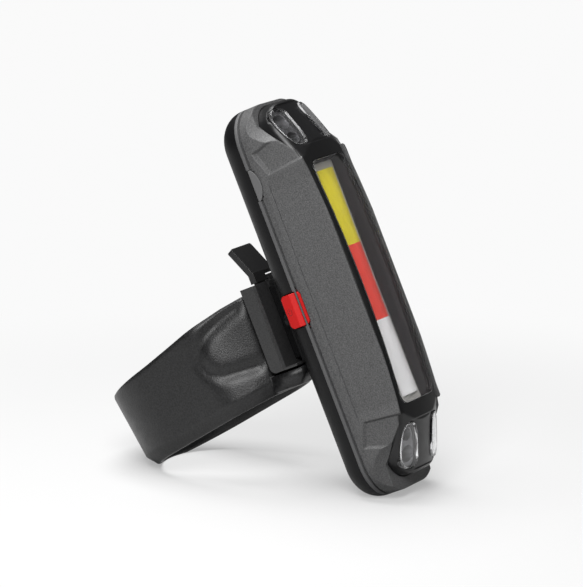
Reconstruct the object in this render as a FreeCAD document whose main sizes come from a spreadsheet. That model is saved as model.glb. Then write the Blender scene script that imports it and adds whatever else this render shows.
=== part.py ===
"""Bicycle tail light standing on a table, propped up by its own strap.

The lamp is drawn in its own frame: X across, Y towards the back, Z along its length,
with Y = 0 on the joint between its two half shells and Z = 0 halfway up. Everything is
then leaned back together and set down on the floor plane Z = 0.
"""
import FreeCAD, Part
import Sketcher
import math
import os

os.makedirs("parts", exist_ok=True)
doc = FreeCAD.newDocument("tail_light")
V = FreeCAD.Vector

# Driving dimensions, in millimetres and degrees
SIZES = [
    ("lamp_width", 28.0),
    ("lamp_length", 101.8),
    ("end_corner", 9.2),
    ("shell_depth", 7.4),
    ("shell_round", 6.2),
    ("wall", 1.6),
    ("lean_angle", 24.0),
    ("side_wall_rise", 2.2),
    ("front_depth", 15.3),
    ("front_arc_radius", 320.0),
    ("front_middle", 0.95),
    ("front_edge_width", 21.4),
    ("wing_end", 35.4),
    ("wing_foot", 45.4),
    ("shelf_depth", 4.6),
    ("facet_recess", 0.45),
    ("facet_half", 29.5),
    ("facet_ramp", 3.6),
    ("pocket_recess", 0.7),
    ("scoop_radius", 16.0),
    ("scoop_depth", 1.1),
    ("trim_width", 0.9),
    ("trim_proud", 0.15),
    ("bezel_width", 20.3),
    ("bezel_length", 97.9),
    ("bezel_gap", 0.2),
    ("bezel_drop", 0.3),
    ("hood_slope", 23.0),
    ("hood_start", 35.6),
    ("hood_lift", 0.5),
    ("hood_crown_radius", 26.0),
    ("hood_round", 2.2),
    ("brow_round", 1.5),
    ("hood_width", 21.2),
    ("hood_neck", 6.5),
    ("panel_width", 18.6),
    ("panel_length", 11.8),
    ("panel_recess", 0.35),
    ("bezel_wall", 1.5),
    ("bezel_side", 1.2),
    ("window_width", 17.0),
    ("window_length", 64.0),
    ("window_corner", 2.6),
    ("lens_gap", 0.12),
    ("front_crown_radius", 62.0),
    ("lens_flange", 0.6),
    ("end_lens_inner", 36.75),
    ("end_lens_outer", 47.15),
    ("end_lens_inset", 3.8),
    ("end_lens_width", 5.9),
    ("end_lens_thickness", 1.2),
    ("tray_wall", 0.8),
    ("strip_length", 59.2),
    ("strip_middle", 0.4),
    ("strip_width", 8.0),
    ("strip_rise", 0.95),
    ("strip_board_width", 8.8),
    ("strip_board_length", 63.0),
    ("strip_board_thickness", 1.0),
    ("strip_depth", 10.8),
    ("board_width", 21.2),
    ("board_thickness", 1.0),
    ("board_back", 1.9),
    ("cell_width", 16.8),
    ("cell_length", 34.2),
    ("cell_thickness", 6.4),
    ("cell_gap", 0.8),
    ("boss_gap", 0.4),
    ("tab_thickness", 0.2),
    ("tab_width", 3.0),
    ("switch_length", 4.4),
    ("switch_height", 2.0),
    ("switch_depth", 3.2),
    ("button_length", 8.5),
    ("button_front", 0.8),
    ("button_back", 4.5),
    ("button_proud", 1.05),
    ("button_ridge", 1.7),
    ("trim_thin", 0.4),
    ("button_clearance", 0.2),
    ("port_inset", 8.2),
    ("port_width", 7.8),
    ("port_height", 2.7),
    ("port_mouth_width", 7.0),
    ("port_mouth_height", 1.85),
    ("port_depth", 5.4),
    ("flap_length", 8.0),
    ("flap_height", 1.7),
    ("flap_thickness", 0.8),
    ("screw_radius", 0.9),
    ("screw_head_radius", 1.7),
    ("screw_head_height", 1.0),
    ("case_screw_length", 11.0),
    ("case_screw_span", 88.0),
    ("case_boss_radius", 2.4),
    ("post_radius", 1.2),
    ("shoe_plate_width", 17.0),
    ("shoe_plate_length", 22.0),
    ("shoe_plate_thickness", 1.2),
    ("shoe_neck_width", 9.0),
    ("shoe_flange_width", 13.0),
    ("shoe_flange_thickness", 1.2),
    ("shoe_length", 19.0),
    ("shoe_screw_span", 13.2),
    ("shoe_middle", -1.8),
    ("slide_clearance", 0.1),
    ("block_width", 22.2),
    ("block_front", 12.6),
    ("block_depth", 4.3),
    ("block_top", 9.4),
    ("block_bottom", -13.0),
    ("block_lip", 1.0),
    ("block_floor", 1.6),
    ("block_round", 1.6),
    ("lever_width", 9.8),
    ("lever_thickness", 1.6),
    ("lever_lean", 25.0),
    ("lever_height", 7.8),
    ("lever_root_width", 5.4),
    ("lever_front", 15.3),
    ("lever_bend", 12.2),
    ("lever_tail", 5.0),
    ("lever_pin_height", 7.2),
    ("lever_pin_length", 9.0),
    ("lever_pin_radius", 0.4),
    ("lever_pin_clearance", 0.05),
    ("lever_slot_clearance", 0.3),
    ("strap_droop", 9.6),
    ("strap_thickness", 3.0),
    ("strap_inner_radius", 15.0),
    ("strap_reach", 50.4),
    ("strap_flare", 13.0),
    ("strap_base_width", 21.4),
    ("strap_top_front", 8.2),
    ("strap_bottom_front", -17.9),
    ("strap_fall", 7.4),
    ("shelf_reach", 8.6),
    ("shelf_gap", 0.3),
    ("plate_width", 14.0),
    ("plate_height", 15.0),
    ("plate_thickness", 1.4),
    ("plate_screw_span", 9.0),
]

sheet = doc.addObject("Spreadsheet::Sheet", "Sizes")
for row, (alias, number) in enumerate(SIZES, start=1):
    sheet.set("A%d" % row, alias)
    sheet.set("B%d" % row, str(number))
    sheet.setAlias("B%d" % row, alias)
doc.recompute()


def val(alias):
    """The number that the sheet holds under this name."""
    return float(sheet.get(alias))


def cell(text):
    """An expression in which every size is looked up in the sheet."""
    names = sorted((alias for alias, number in SIZES), key=len, reverse=True)
    words = []
    word = ""
    for letter in text + " ":
        if letter.isalnum() or letter == "_":
            word += letter
            continue
        words.append("Sizes." + word if word in names else word)
        words.append(letter)
        word = ""
    return "".join(words).strip()


# Shape helpers, all in the lamp's frame


def face_of(edges):
    """A flat face inside a closed chain of edges."""
    return Part.Face(Part.Wire(Part.__sortEdges__(edges)))


def polygon(points):
    """A flat face with straight sides."""
    return Part.Face(Part.makePolygon(points + [points[0]]))


def slab(width, length, corner, y_low, y_high, z_mid=0.0):
    """A plate with rounded corners that faces the front, between two depths."""
    box = Part.makeBox(width, y_high - y_low, length, V(-width / 2, y_low, z_mid - length / 2))
    upright = [e for e in box.Edges if abs(e.tangentAt(e.FirstParameter).y) > 0.99]
    return box.makeFillet(corner, upright)


def brick(x_low, x_high, y_low, y_high, z_low, z_high):
    """A plain block between two corners."""
    return Part.makeBox(x_high - x_low, y_high - y_low, z_high - z_low, V(x_low, y_low, z_low))


def rod(radius, length, start, direction):
    """A round bar from a start point."""
    return Part.makeCylinder(radius, length, start, direction)


X_AXIS, Y_AXIS, Z_AXIS = V(1, 0, 0), V(0, 1, 0), V(0, 0, 1)


def edge_middle(edge):
    """The point halfway along an edge."""
    return edge.valueAt((edge.FirstParameter + edge.LastParameter) / 2)


def runs_along(edge, axis):
    """Whether an edge is straight and parallel to an axis."""
    return abs(edge.tangentAt(edge.FirstParameter).dot(axis)) > 0.999


def mirrored_ends(solid, middle=0.0):
    """The same solid at the other end, mirrored about a plane at this height."""
    return solid.mirror(V(0, 0, middle), V(0, 0, 1))


def mirrored_sides(solid):
    """The same solid on the other side of the lamp."""
    return solid.mirror(V(0, 0, 0), V(1, 0, 0))


def at_four_corners(solid, middle=0.0):
    """The solid and its three mirror images."""
    left_right = [solid, mirrored_sides(solid)]
    return left_right + [mirrored_ends(one, middle) for one in left_right]


def raised(solid):
    """A front piece, drawn about its own middle, moved to its place on the lamp."""
    return solid.translated(V(0, 0, front_middle))


def front_at(z):
    """Depth of the arched front edge in front of the joint plane, at a height."""
    radius = val("front_arc_radius")
    return val("front_depth") - radius + math.sqrt(radius * radius - z * z)


nodes = {}


def add_feature(label, shape):
    """One sub-part whose shape is worked out here from the sheet."""
    feature = doc.addObject("Part::Feature", label)
    feature.Label = label
    feature.Shape = shape
    nodes[label] = feature
    return feature


front_middle = val("front_middle")
lamp_half_width = val("lamp_width") / 2
lamp_half_length = val("lamp_length") / 2
wall = val("wall")
BEYOND = 25.0


# Front housing: outline, side profile and cross-section meet in one solid

facet_run = V(val("front_edge_width") / 2 - lamp_half_width, -(val("front_depth") - val("side_wall_rise")), 0)
facet_dir = V(facet_run).normalize()
facet_normal = V(-facet_dir.y, facet_dir.x, 0)
facet_slope = facet_run.x / facet_run.y


def facet_x(depth):
    """Half width of the side facet at a depth in front of the joint plane."""
    return lamp_half_width - facet_slope * (depth - val("side_wall_rise"))


def front_section(inset, floor):
    """Prism of the lamp's cross-section, moved inwards by an inset."""
    top = front_at(0) + 5.0
    slant = inset / facet_dir.y * -1.0
    rise = val("side_wall_rise")
    points = [
        V(lamp_half_width - inset, -floor, -BEYOND * 3),
        V(lamp_half_width - inset, -rise, -BEYOND * 3),
        V(facet_x(top) - slant, -top, -BEYOND * 3),
        V(slant - facet_x(top), -top, -BEYOND * 3),
        V(inset - lamp_half_width, -rise, -BEYOND * 3),
        V(inset - lamp_half_width, -floor, -BEYOND * 3),
    ]
    return polygon(points).extrude(V(0, 0, BEYOND * 6))


def front_profile(depth_offset, width, foot_depth, end_depth):
    """Prism of the side view: arched front between two steep wing ends."""
    half = lamp_half_length + 1.0
    wing = val("wing_end")
    low_wing = wing - 2 * front_middle
    edge_depth = front_at(wing) - depth_offset
    low_depth = front_at(low_wing) - depth_offset

    def at(depth, z):
        return V(-width / 2, -depth, z)

    crest = at(front_at(0) - depth_offset, 0)
    arc = Part.Arc(at(low_depth, -low_wing), crest, at(edge_depth, wing)).toShape()
    chain = [at(edge_depth, wing), at(foot_depth, val("wing_foot")), at(end_depth, half), at(-1.0, half)]
    chain += [at(-1.0, -half), at(end_depth, -half)]
    chain += [at(foot_depth, 2 * front_middle - val("wing_foot")), at(low_depth, -low_wing)]
    sides = [Part.LineSegment(chain[i], chain[i + 1]).toShape() for i in range(len(chain) - 1)]
    return face_of([arc] + sides).extrude(V(width, 0, 0))


outline = slab(2 * lamp_half_width, 2 * lamp_half_length, val("end_corner"), -BEYOND, 0)
housing = outline.common(front_section(0, 0))
housing = housing.common(front_profile(0, 2 * BEYOND, val("shelf_depth"), val("shelf_depth") * 0.8))

# Shallow dished corners beside the hoods
scoop_normal = V(0.75, -0.85, 0.55).normalize()
scoop_foot = V(lamp_half_width - 1.2, -val("shelf_depth") - 0.4, val("wing_foot") - 0.6)
scoop_centre = scoop_foot + scoop_normal * (val("scoop_radius") - val("scoop_depth"))
scoop = Part.makeSphere(val("scoop_radius"), scoop_centre)
for one in at_four_corners(scoop, front_middle):
    housing = housing.cut(one)

# Large side facets, let in a little, with a ramp at each end
recess_start = V(facet_x(3.4), -3.4, 0)


def facet_point(along, inward, z):
    """A point by the right-hand side facet."""
    place = recess_start + facet_dir * along - facet_normal * inward
    return V(place.x, place.y, z)


facet_end = val("facet_half")
ramp_end = facet_end + val("facet_ramp")
recess = polygon([
    facet_point(0, val("facet_recess"), -facet_end),
    facet_point(0, val("facet_recess"), facet_end),
    facet_point(0, 0, ramp_end),
    facet_point(0, -2.0, ramp_end + 2.0),
    facet_point(0, -2.0, -ramp_end - 2.0),
    facet_point(0, 0, -ramp_end),
]).extrude(facet_dir * 20.0)
housing = housing.cut(recess).cut(mirrored_sides(recess))

# Trapezoid pockets at both ends of both facets, as depth and height of each corner
POCKET_CORNERS = [(4.15, 33.3), (17.0, 34.7), (11.2, 42.6), (1.97, 39.7)]
pocket_depths = [depth for depth, z in POCKET_CORNERS]
pocket_heights = [z for depth, z in POCKET_CORNERS]
pocket_centre = (sum(pocket_depths) / 4, sum(pocket_heights) / 4)


def pocket_ring(spread, lift):
    """Outline of the pocket, spread from its centre by a share and lifted off the facet."""
    corners = []
    for depth, z in POCKET_CORNERS:
        depth = pocket_centre[0] + (depth - pocket_centre[0]) * spread
        z = pocket_centre[1] + (z - pocket_centre[1]) * spread
        corners.append(V(facet_x(depth), -depth, z) + facet_normal * lift)
    return Part.makePolygon(corners + [corners[0]])


sink = val("pocket_recess")
pocket = Part.makeLoft([pocket_ring(0.84, -sink), pocket_ring(1.16, sink)], True, True)
for one in at_four_corners(pocket, front_middle):
    housing = housing.cut(one)

# Inside: a cavity behind a ledge, and an opening for the bezel in front of it
ledge_back = val("strip_depth") - val("strip_board_thickness") - val("tray_wall") - 1.2
ledge_front = ledge_back + 1.2
opening_half = val("bezel_width") / 2 + val("bezel_gap")
hood_seat = 1.5
deep_half = val("wing_foot") - 6.0 - front_middle
inner_corner = val("end_corner") - wall
cavity = slab(2 * (lamp_half_width - wall), 2 * (lamp_half_length - wall), inner_corner, -BEYOND, 1)
cavity = cavity.common(front_section(wall, -1.0))
deep = cavity.common(brick(
    -BEYOND, BEYOND, -ledge_back, 1, front_middle - deep_half, front_middle + deep_half
))
shallow = cavity.common(brick(-BEYOND, BEYOND, -(hood_seat - 0.7), 1, -60, 60))
throat = slab(2 * (opening_half - 0.9), 2 * deep_half, 3.0, -BEYOND, -ledge_back + 0.01)


def hood_outline(spread):
    """Upright prism of the upper hood's outline, which widens over a short neck."""
    slim = val("bezel_width") / 2 + spread
    wide = val("hood_width") / 2 + spread
    start = val("hood_start")
    neck = polygon([
        V(-slim, 0, start - val("hood_neck")), V(slim, 0, start - val("hood_neck")), V(wide, 0, start),
        V(wide, 0, 60), V(-wide, 0, 60), V(-wide, 0, start),
    ]).extrude(V(0, -BEYOND, 0))
    return neck.common(slab(2 * wide, val("bezel_length") + 2 * spread, 8.0 + spread, -BEYOND, 0))


neck_start = val("hood_start") - val("hood_neck")
mouth_mid = brick(-opening_half, opening_half, -BEYOND, -ledge_front, -neck_start - 0.5, neck_start + 0.5)
hood_room = hood_outline(val("lens_gap"))
mouth_neck = hood_room.common(brick(-BEYOND, BEYOND, -BEYOND, -ledge_front, 0, 60))
mouth_end = hood_room.common(brick(-BEYOND, BEYOND, -BEYOND, -hood_seat, deep_half - 0.01, 60))
for tool in (deep, shallow, raised(throat), raised(mouth_mid)):
    housing = housing.cut(tool)
for tool in (mouth_neck, mouth_end):
    housing = housing.cut(raised(tool)).cut(raised(mirrored_ends(tool)))


# Bezel form: front arched both ways, a crowned slope at each end, upright sides
front_crown = val("front_crown_radius")
crown_sag = front_crown - math.sqrt(front_crown ** 2 - (val("bezel_width") / 2) ** 2)
bezel_crest = val("front_depth") - val("bezel_drop") + crown_sag


def crowned_front(sink):
    """Band of a barrel: crowned across, arched along the lamp, sunk back by an amount."""
    half = BEYOND
    radius = val("front_crown_radius")
    edge = bezel_crest - radius + math.sqrt(radius * radius - half * half) - sink
    crest = bezel_crest - sink
    arc = Part.Arc(V(-half, -edge, 0), V(0, -crest, 0), V(half, -edge, 0)).toShape()
    corners = [V(half, -edge, 0), V(half, 2, 0), V(-half, 2, 0), V(-half, -edge, 0)]
    sides = [Part.LineSegment(corners[i], corners[i + 1]).toShape() for i in range(3)]
    section = face_of([arc] + sides)
    pivot = V(0, val("front_arc_radius") - bezel_crest, 0)
    section.rotate(pivot, V(1, 0, 0), -12.0)
    return section.revolve(pivot, V(1, 0, 0), 24.0)


def crest_at(z):
    """Depth of the bezel's crest at a height."""
    radius = val("front_arc_radius")
    return bezel_crest - radius + math.sqrt(radius * radius - z * z)


def slope_drum(sink):
    """Round bar whose crest is the crowned slope of the upper hood."""
    angle = math.radians(val("hood_slope"))
    radius = val("hood_crown_radius")
    down_slope = V(0, math.sin(angle), math.cos(angle))
    outward = V(0, -math.cos(angle), math.sin(angle))
    crest = V(0, -crest_at(val("hood_start")) - val("hood_lift"), val("hood_start")) - outward * sink
    axis_point = crest - outward * radius
    return rod(radius, 400.0, axis_point - down_slope * 200.0, down_slope)


def bezel_form(sink, less):
    """Solid bezel shape, sunk back and made smaller all round by these amounts."""
    half_x = val("bezel_width") / 2 - less
    half_z = val("bezel_length") / 2 - less
    form = slab(2 * half_x, 2 * half_z, 8.0 - less, -BEYOND, 0).fuse(hood_outline(-less))
    form = form.common(crowned_front(sink))
    upper = form.common(slope_drum(sink)).common(brick(-BEYOND, BEYOND, -BEYOND, BEYOND, 0, 60))
    return upper.fuse(mirrored_ends(upper)).removeSplitter()


# Outline of an end lens, as shares of its width outwards and of its length towards the lamp's end
LENS_OUTLINE = [
    (0.0, 0.82), (0.02, 0.48), (0.08, 0.20), (0.24, 0.03), (0.52, 0.0), (0.79, 0.06),
    (0.95, 0.28), (1.0, 0.62), (0.88, 0.88), (0.54, 1.0), (0.16, 0.98),
]
cup_x = -(val("end_lens_inset") + val("end_lens_width") / 2)
cup_z = (val("end_lens_inner") + val("end_lens_outer")) / 2


def end_outline(spread, y_low, y_high):
    """Upright prism with the outline of the upper left end lens, grown by an amount."""
    width = val("end_lens_width") + 2 * spread
    length = val("end_lens_outer") - val("end_lens_inner") + 2 * spread
    points = [V(cup_x + (0.5 - a) * width, y_low, cup_z + (b - 0.5) * length) for a, b in LENS_OUTLINE]
    curve = Part.BSplineCurve()
    curve.interpolate(points, PeriodicFlag=True)
    face = Part.Face(Part.Wire([curve.toShape()]))
    return face.extrude(V(0, y_high - y_low, 0))


bezel_outer = bezel_form(0, 0)


def hood_edge(edge):
    """Whether an edge is part of the outer rim of a hood's sloping top."""
    place = edge_middle(edge)
    on_slope = abs(place.z) > val("hood_start") + 0.5 and place.y < -hood_seat
    return on_slope and not runs_along(edge, Y_AXIS) and edge.Length > 0.5


def brow_edge(edge):
    """Whether an edge is the brow line, where a hood's slope meets the long front."""
    place = edge_middle(edge)
    return hood_edge(edge) and abs(place.x) < 0.01 and abs(place.z) < val("end_lens_outer") - 2.0


bezel_outer = bezel_outer.makeFillet(val("brow_round"), [e for e in bezel_outer.Edges if brow_edge(e)])
rim_edges = [e for e in bezel_outer.Edges if hood_edge(e) and not brow_edge(e)]
bezel_outer = bezel_outer.makeFillet(val("hood_round"), rim_edges)
gap = val("lens_gap")

# Skirt of the bezel: it reaches down to the ledge in the middle and to the seat at the ends
skirt_tool = brick(-BEYOND, BEYOND, -ledge_front - gap, BEYOND, -deep_half - 0.9, deep_half + 0.9)
seat_tool = brick(-BEYOND, BEYOND, -hood_seat - gap, BEYOND, -60, 60)
window_hole = slab(val("window_width"), val("window_length"), val("window_corner"), -BEYOND, 0)
tray_room = slab(
    val("bezel_width") - 2 * val("bezel_side"), 2 * val("end_lens_inner") - 4.0, 2.0, -BEYOND, 0
).cut(bezel_form(-20, 0).cut(bezel_form(val("bezel_wall"), 0)))
panel_slab = slab(
    val("panel_width"), val("panel_length"), 3.5, -BEYOND, 0,
    (val("end_lens_inner") + val("end_lens_outer")) / 2 + 0.3,
)
panel = panel_slab.cut(bezel_form(val("panel_recess"), 0))
bezel_outer = bezel_outer.cut(panel).cut(mirrored_ends(panel))
bezel = bezel_outer.cut(skirt_tool).cut(seat_tool).cut(window_hole).cut(tray_room)
cup_hole = end_outline(-0.5, -BEYOND, 0)
lens_seat = end_outline(gap, -BEYOND, BEYOND).cut(bezel_form(val("end_lens_thickness") + gap, 0))
for one in at_four_corners(cup_hole) + at_four_corners(lens_seat):
    bezel = bezel.cut(one)
bezel = raised(bezel)


# Lenses: the clear pieces fill their openings and follow the same crowned surfaces
lens_proud = 0.2
lens_sink = val("bezel_wall") + gap
lens_back = lens_sink + val("lens_flange")
window_plug = slab(
    val("window_width") - 2 * gap, val("window_length") - 2 * gap, val("window_corner") - gap, -BEYOND, 0
)
window_flange = slab(
    val("window_width") - 2 * gap, val("window_length") + 2 * val("lens_flange"), val("window_corner"),
    -BEYOND, 0,
)
lens_layer = bezel_form(-lens_proud, 0).cut(bezel_form(lens_back, 0))
flange_layer = bezel_form(lens_sink, 0).cut(bezel_form(lens_back, 0))
window_lens = window_plug.common(lens_layer).fuse(window_flange.common(flange_layer)).removeSplitter()

lens_thick = val("end_lens_thickness")
end_lens = end_outline(0, -BEYOND, 0).common(bezel_form(-0.1, -0.1).cut(bezel_form(lens_thick, -1)))

# Reflector block under each end lens, with a large and a small cup
reflector = end_outline(-0.65, -BEYOND, -hood_seat - gap).common(bezel_form(lens_thick + 2 * gap, 0))
reflector = reflector.cut(brick(-BEYOND, BEYOND, -ledge_front - gap, BEYOND, 0, deep_half + gap))
CUPS = [(1.7, 1.1, 2.3), (-2.9, 0.8, 1.35)]
cup_floor = 4.6
for lift, floor_radius, rim_radius in CUPS:
    cup = Part.makeCone(floor_radius, rim_radius * 1.35, 9.0, V(cup_x, -cup_floor, cup_z + lift), V(0, -1, 0))
    reflector = reflector.cut(cup)
led_size = 1.4
led_height = 0.6
led = brick(
    cup_x - led_size / 2, cup_x + led_size / 2, -cup_floor - led_height, -cup_floor,
    cup_z + 2.0 - led_size / 2, cup_z + 2.0 + led_size / 2,
)

# Screws from the back through a boss of the rear shell and the seat of the housing into the bezel
screw_z = val("case_screw_span") / 2
head_seat = val("shell_depth") - 2.0
screw_dir = V(0, -1, 0)


def case_screw(radius, head_radius, head_height, length):
    """A countersunk-seat screw, or with larger sizes the hole that it needs."""
    head = rod(head_radius, head_height, V(0, head_seat + head_height, screw_z), screw_dir)
    shank = rod(radius, length + 0.01, V(0, head_seat + 0.01, screw_z), screw_dir)
    return head.fuse(shank)


screw_fit = 0.05
shank_length = val("case_screw_length")
screw = case_screw(val("screw_radius"), val("screw_head_radius"), val("screw_head_height"), shank_length)
slot = brick(-1.3, 1.3, head_seat + 0.6, head_seat + 2.0, screw_z - 0.2, screw_z + 0.2)
screw = screw.cut(slot)
screw_hole = case_screw(
    val("screw_radius") + screw_fit, val("screw_head_radius") + 0.2, 3.0, shank_length + 0.3
)
for hole in (screw_hole, mirrored_ends(screw_hole)):
    housing = housing.cut(hole)
    bezel = bezel.cut(hole)

# Cell and board share the length between the two screw bosses
boss_top = val("case_screw_span") / 2 - val("case_boss_radius")
cell_bottom = -boss_top + val("boss_gap")
board_bottom = cell_bottom + val("cell_length") + val("cell_gap")
board_top = boss_top - 3 * val("boss_gap")
CELL_BOTTOM = "(case_boss_radius + boss_gap - case_screw_span / 2)"
BOARD_BOTTOM = "(%s + cell_length + cell_gap)" % CELL_BOTTOM
BOARD_TOP = "(case_screw_span / 2 - case_boss_radius - 3 * boss_gap)"
BOARD_LENGTH = "(%s - %s)" % (BOARD_TOP, BOARD_BOTTOM)

# Rear shell: a rounded tray with bosses and posts
trim = val("trim_width")
depth = val("shell_depth")


def tray(inset, y_open, y_back, round_radius):
    """Rounded plate whose rear edge is rounded off."""
    width = 2 * (lamp_half_width - inset)
    length = 2 * (lamp_half_length - inset)
    plate = slab(width, length, val("end_corner") - inset, y_open, y_back)
    rim = [e for e in plate.Edges if abs(e.BoundBox.YMin - y_back) + abs(e.BoundBox.YMax - y_back) < 0.001]
    return plate.makeFillet(round_radius, rim)


rear = tray(0, trim, depth, val("shell_round"))
rear = rear.cut(tray(wall, trim - 1.0 - 6.0, depth - wall, val("shell_round") - wall))
boss = rod(val("case_boss_radius"), depth - wall - trim + 0.1, V(0, depth - wall + 0.1, screw_z), screw_dir)
shoe_mid = val("shoe_middle")
post_spots = [(x, z) for x in (-9.0, 9.0) for z in (board_bottom + 2.6, board_top - 2.6)]
posts = [
    rod(val("post_radius"), depth - wall - val("board_back") + 0.1, V(x, depth - wall + 0.1, z), screw_dir)
    for x, z in post_spots
]
shoe_screw_x = val("shoe_screw_span") / 2
shoe_bosses = [
    rod(2.0, 1.7, V(x, depth - wall + 0.1, shoe_mid), screw_dir) for x in (-shoe_screw_x, shoe_screw_x)
]
rear = rear.multiFuse([boss, mirrored_ends(boss)] + posts + shoe_bosses)
for hole in (screw_hole, mirrored_ends(screw_hole)):
    rear = rear.cut(hole)

# Side button: a faceted cap behind the trim, a stem under the trim and a flange inside the wall
button_half = val("button_length") / 2
button_x = -(lamp_half_width + val("button_proud"))
button_back = val("button_back")
button_front = -val("button_front")
wall_x = -(lamp_half_width - wall)
stem_x = wall_x + 1.0
under_trim = -(lamp_half_width - 0.55)
thin_back = 0.05 + val("trim_thin")
button_section = [
    V(-lamp_half_width - 0.25, thin_back + 0.1, 0),
    V(button_x, val("button_ridge"), 0),
    V(button_x + 0.35, button_back, 0),
    V(wall_x + 0.1, button_back, 0),
    V(wall_x + 0.1, trim + 1.1, 0),
    V(stem_x, trim + 1.1, 0),
    V(stem_x, button_front, 0),
    V(-lamp_half_width - 0.05, button_front, 0),
    V(-lamp_half_width - 0.05, -0.05, 0),
    V(under_trim, -0.05, 0),
    V(under_trim, thin_back + 0.1, 0),
]
button_face = polygon(button_section)
button_face.translate(V(0, 0, -button_half))
button = button_face.extrude(V(0, 0, 2 * button_half))
side_window = Part.makeBox(8, button_back - button_front, 2 * button_half, V(-18, button_front, -button_half))
side_window = side_window.makeFillet(1.1, [e for e in side_window.Edges if abs(e.tangentAt(0).x) > 0.99])
button = button.common(side_window)
flange = brick(
    wall_x + 0.3, wall_x + 0.9, button_front - 0.3, trim + 0.6, -button_half - 1.0, button_half + 1.0
)
button = button.fuse(flange)
button_gap = val("button_clearance")
button_room = brick(
    -BEYOND, wall_x + 2.6, button_front - button_gap, button_back + button_gap,
    -button_half - button_gap, button_half + button_gap,
)
button_room = button_room.makeFillet(1.1, [e for e in button_room.Edges if abs(e.tangentAt(0).x) > 0.99])
housing = housing.cut(button_room.common(brick(-BEYOND, 0, -BEYOND, 0.0, -60, 60)))
rear = rear.cut(button_room.common(brick(-BEYOND, 0, 0, BEYOND, -60, 60)))

# Charging port, its hole in the wall and its flap
port_z = board_top - val("port_inset")
board_front = val("board_back") - val("board_thickness")
port_x = wall_x + 0.2
mouth_half = val("port_mouth_width") / 2
mouth_top = board_front - 0.15
mouth_low = mouth_top - val("port_mouth_height")
port_half = val("port_width") / 2
port = brick(
    port_x, port_x + val("port_depth"), board_front - val("port_height"), board_front,
    port_z - port_half, port_z + port_half,
)
port = port.cut(
    brick(port_x - 1, port_x + 4.6, mouth_low, mouth_top, port_z - mouth_half, port_z + mouth_half)
)
tongue_y = (mouth_low + mouth_top) / 2
tongue = brick(port_x + 0.8, port_x + 4.7, tongue_y - 0.3, tongue_y + 0.3, port_z - 2.4, port_z + 2.4)
port = port.fuse(tongue)
port_hole = brick(-BEYOND, wall_x + 0.1, mouth_low, 0.0, port_z - mouth_half, port_z + mouth_half)
housing = housing.cut(port_hole)

flap_half = val("flap_length") / 2
flap_high = val("flap_height")
flap_gap = 0.08
flap_x = -(lamp_half_width + val("trim_proud"))
flap_thick = val("flap_thickness")
hinge_radius = flap_thick / 2
hinge_y = trim - flap_gap - hinge_radius


def flap_outline(spread, y_low):
    """Half-moon outline of the flap, grown by an amount."""
    half = flap_half + spread
    arc = Part.Arc(
        V(flap_x, 0, port_z - half), V(flap_x, -flap_high - spread, port_z), V(flap_x, 0, port_z + half)
    ).toShape()
    corners = [
        V(flap_x, 0, port_z + half), V(flap_x, y_low, port_z + half),
        V(flap_x, y_low, port_z - half), V(flap_x, 0, port_z - half),
    ]
    sides = [Part.LineSegment(corners[i], corners[i + 1]).toShape() for i in range(3)]
    return face_of([arc] + sides)


flap = flap_outline(0, hinge_y).extrude(V(flap_thick, 0, 0))
bead = rod(hinge_radius, 2 * flap_half, V(flap_x + hinge_radius, hinge_y, port_z - flap_half), Z_AXIS)
flap = flap.fuse(bead).removeSplitter()
flap_room = flap_outline(flap_gap, trim).extrude(V(flap_thick + flap_gap + 3, 0, 0))
flap_room.translate(V(-3, 0, 0))
housing = housing.cut(flap_room)

# Seal strip between the shells, thin where it crosses the button, open at the flap
trim_outer = slab(
    2 * lamp_half_width + 2 * val("trim_proud"), 2 * lamp_half_length, val("end_corner"), 0.05, trim
)
trim_ring = trim_outer.cut(
    slab(2 * lamp_half_width - 2.4, 2 * lamp_half_length - 2.4, val("end_corner") - 1.2, -1, 2)
)
trim_ring = trim_ring.cut(
    brick(under_trim - 0.15, 0, -1, 2, -button_half - 1.3, button_half + 1.3)
)
trim_ring = trim_ring.cut(
    brick(-BEYOND, 0, thin_back, 2, -button_half - button_gap, button_half + button_gap)
)
trim_ring = trim_ring.cut(
    brick(-BEYOND, 0, -1, 2, port_z - flap_half - flap_gap, port_z + flap_half + flap_gap)
)

# Dark groove in the front housing beside the seal strip
groove = slab(2 * lamp_half_width + 4, 2 * lamp_half_length + 4, 3, -0.6, 0.0).cut(
    slab(2 * lamp_half_width - 1.1, 2 * lamp_half_length - 1.1, val("end_corner") - 0.55, -1, 1)
)
housing = housing.cut(groove)

add_feature("front_housing", housing)
add_feature("seam_trim", trim_ring)
add_feature("bezel", bezel)
add_feature("window_lens", raised(window_lens))
add_feature("end_lens_top_left", raised(end_lens))
add_feature("end_lens_top_right", raised(mirrored_sides(end_lens)))
add_feature("end_lens_bottom_left", raised(mirrored_ends(end_lens)))
add_feature("end_lens_bottom_right", raised(mirrored_ends(mirrored_sides(end_lens))))
top_reflectors = Part.makeCompound([reflector, mirrored_sides(reflector)])
top_leds = Part.makeCompound([led, mirrored_sides(led)])
add_feature("end_reflectors_top", raised(top_reflectors))
add_feature("end_reflectors_bottom", raised(mirrored_ends(top_reflectors)))
add_feature("end_leds_top", raised(top_leds))
add_feature("end_leds_bottom", raised(mirrored_ends(top_leds)))
add_feature("case_screws", Part.makeCompound([screw, mirrored_ends(screw)]))
add_feature("power_button", button)
add_feature("usb_port", port)
add_feature("port_cover", flap)


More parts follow.
